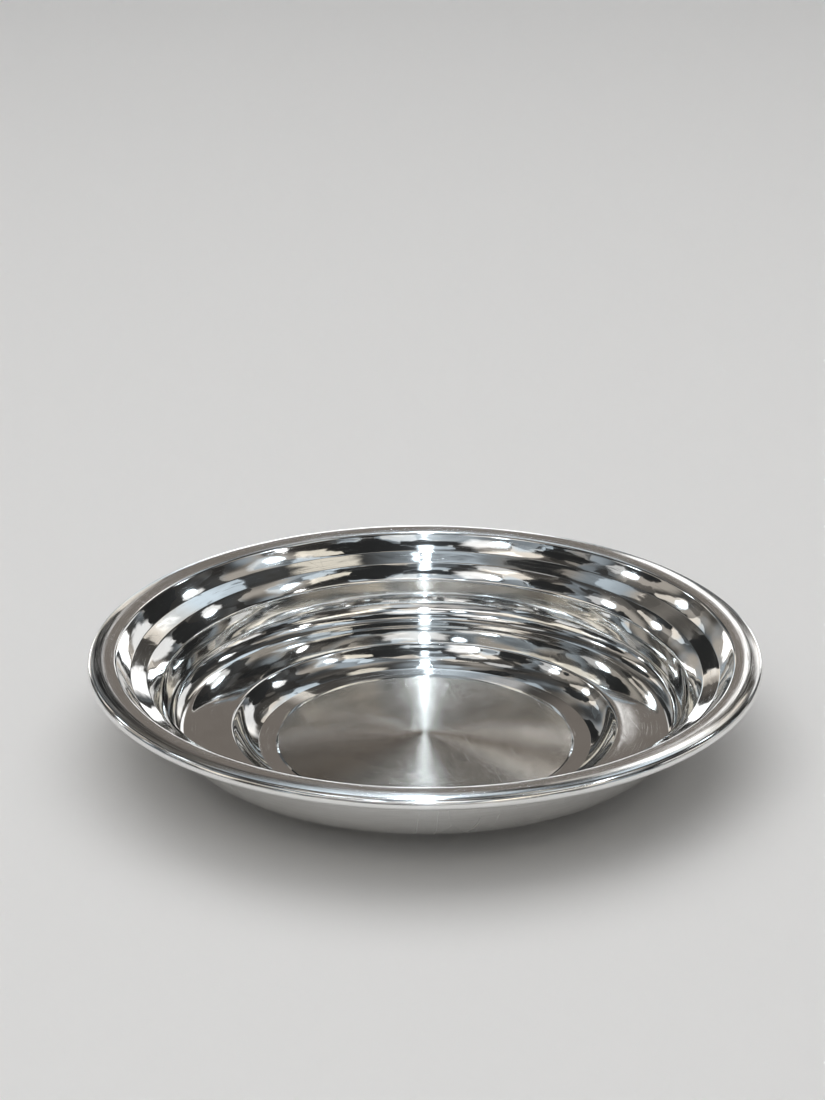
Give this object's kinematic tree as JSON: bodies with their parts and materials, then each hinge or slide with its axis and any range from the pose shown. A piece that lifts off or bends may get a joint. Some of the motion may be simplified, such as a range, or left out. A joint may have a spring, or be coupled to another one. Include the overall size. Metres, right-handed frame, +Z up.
{
  "type": "thali plate",
  "caption": "Round deep dining plate pressed from steel sheet, with a sunk centre well, a stepped wall and a wired, curled rim.",
  "frame": {"origin": "centre of the foot ring, on the surface that the plate stands on", "axes": "+Z up along the plate's axis, towards the open side; the plate is the same all round, so +X and +Y are free"},
  "size_m": [0.28, 0.28, 0.0435],
  "materials": {
    "polished_steel": "polished, with a circular-brushed centre disc",
    "steel_wire": "drawn wire"
  },
  "bodies": {
    "root": {"dish_shell": "polished_steel", "rim_wire": "steel_wire"}
  },
  "joints": []
}
